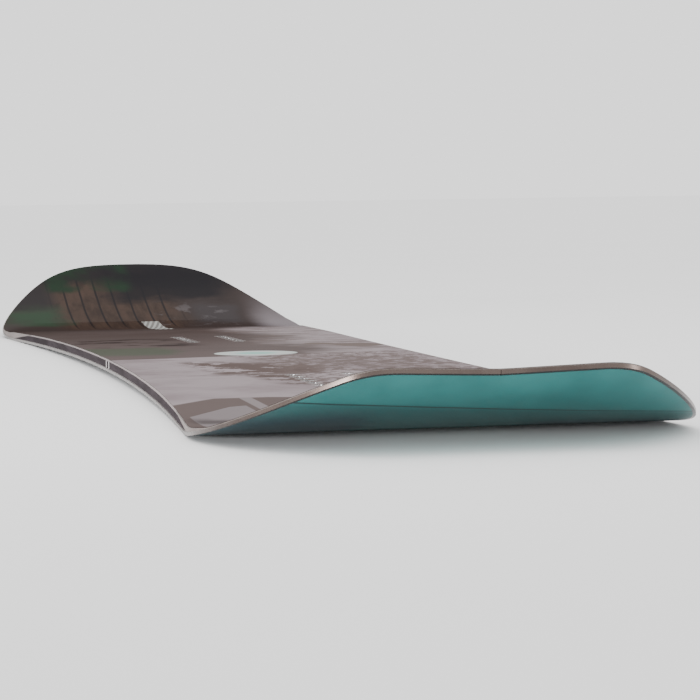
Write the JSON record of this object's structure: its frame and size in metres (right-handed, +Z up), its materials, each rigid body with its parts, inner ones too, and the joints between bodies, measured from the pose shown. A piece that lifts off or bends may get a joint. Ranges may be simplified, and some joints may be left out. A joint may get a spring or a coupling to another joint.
{
  "type": "snowboard",
  "caption": "Directional cambered snowboard deck with wood core, steel edges and threaded binding inserts.",
  "frame": {"origin": "middle of the board's length and width, at the height of the flat surface it stands on", "axes": "+X to the nose, +Y to the left side, +Z up"},
  "size_m": [1.562, 0.297, 0.066],
  "materials": {
    "base_plastic": "waxed",
    "edge_steel": "ground",
    "foil_rubber": "matte",
    "glass_laminate": "resin over glass cloth",
    "pale_core_wood": "sawn",
    "dark_core_wood": "sawn",
    "sidewall_plastic": "satin",
    "spacer_plastic": "satin",
    "insert_steel": "machined",
    "cap_plastic": "matte",
    "printed_topsheet": "glossy print"
  },
  "bodies": {
    "root": {"base_sheet": "base_plastic", "left_edge": "edge_steel", "left_edge_foil": "foil_rubber", "left_sidewall": "sidewall_plastic", "right_edge": "edge_steel", "right_edge_foil": "foil_rubber", "right_sidewall": "sidewall_plastic", "lower_laminate": "glass_laminate", "upper_laminate": "glass_laminate", "core_strip_1": "pale_core_wood", "core_strip_2": "dark_core_wood", "core_strip_3": "pale_core_wood", "core_strip_4": "dark_core_wood", "core_strip_5": "pale_core_wood", "core_strip_6": "dark_core_wood", "core_strip_7": "pale_core_wood", "core_strip_8": "dark_core_wood", "core_strip_9": "pale_core_wood", "core_strip_10": "dark_core_wood", "core_strip_11": "pale_core_wood", "nose_spacer": "spacer_plastic", "tail_spacer": "spacer_plastic", "front_insert_caps": "cap_plastic", "front_inserts": "insert_steel", "rear_insert_caps": "cap_plastic", "rear_inserts": "insert_steel", "topsheet": "printed_topsheet"}
  },
  "joints": []
}
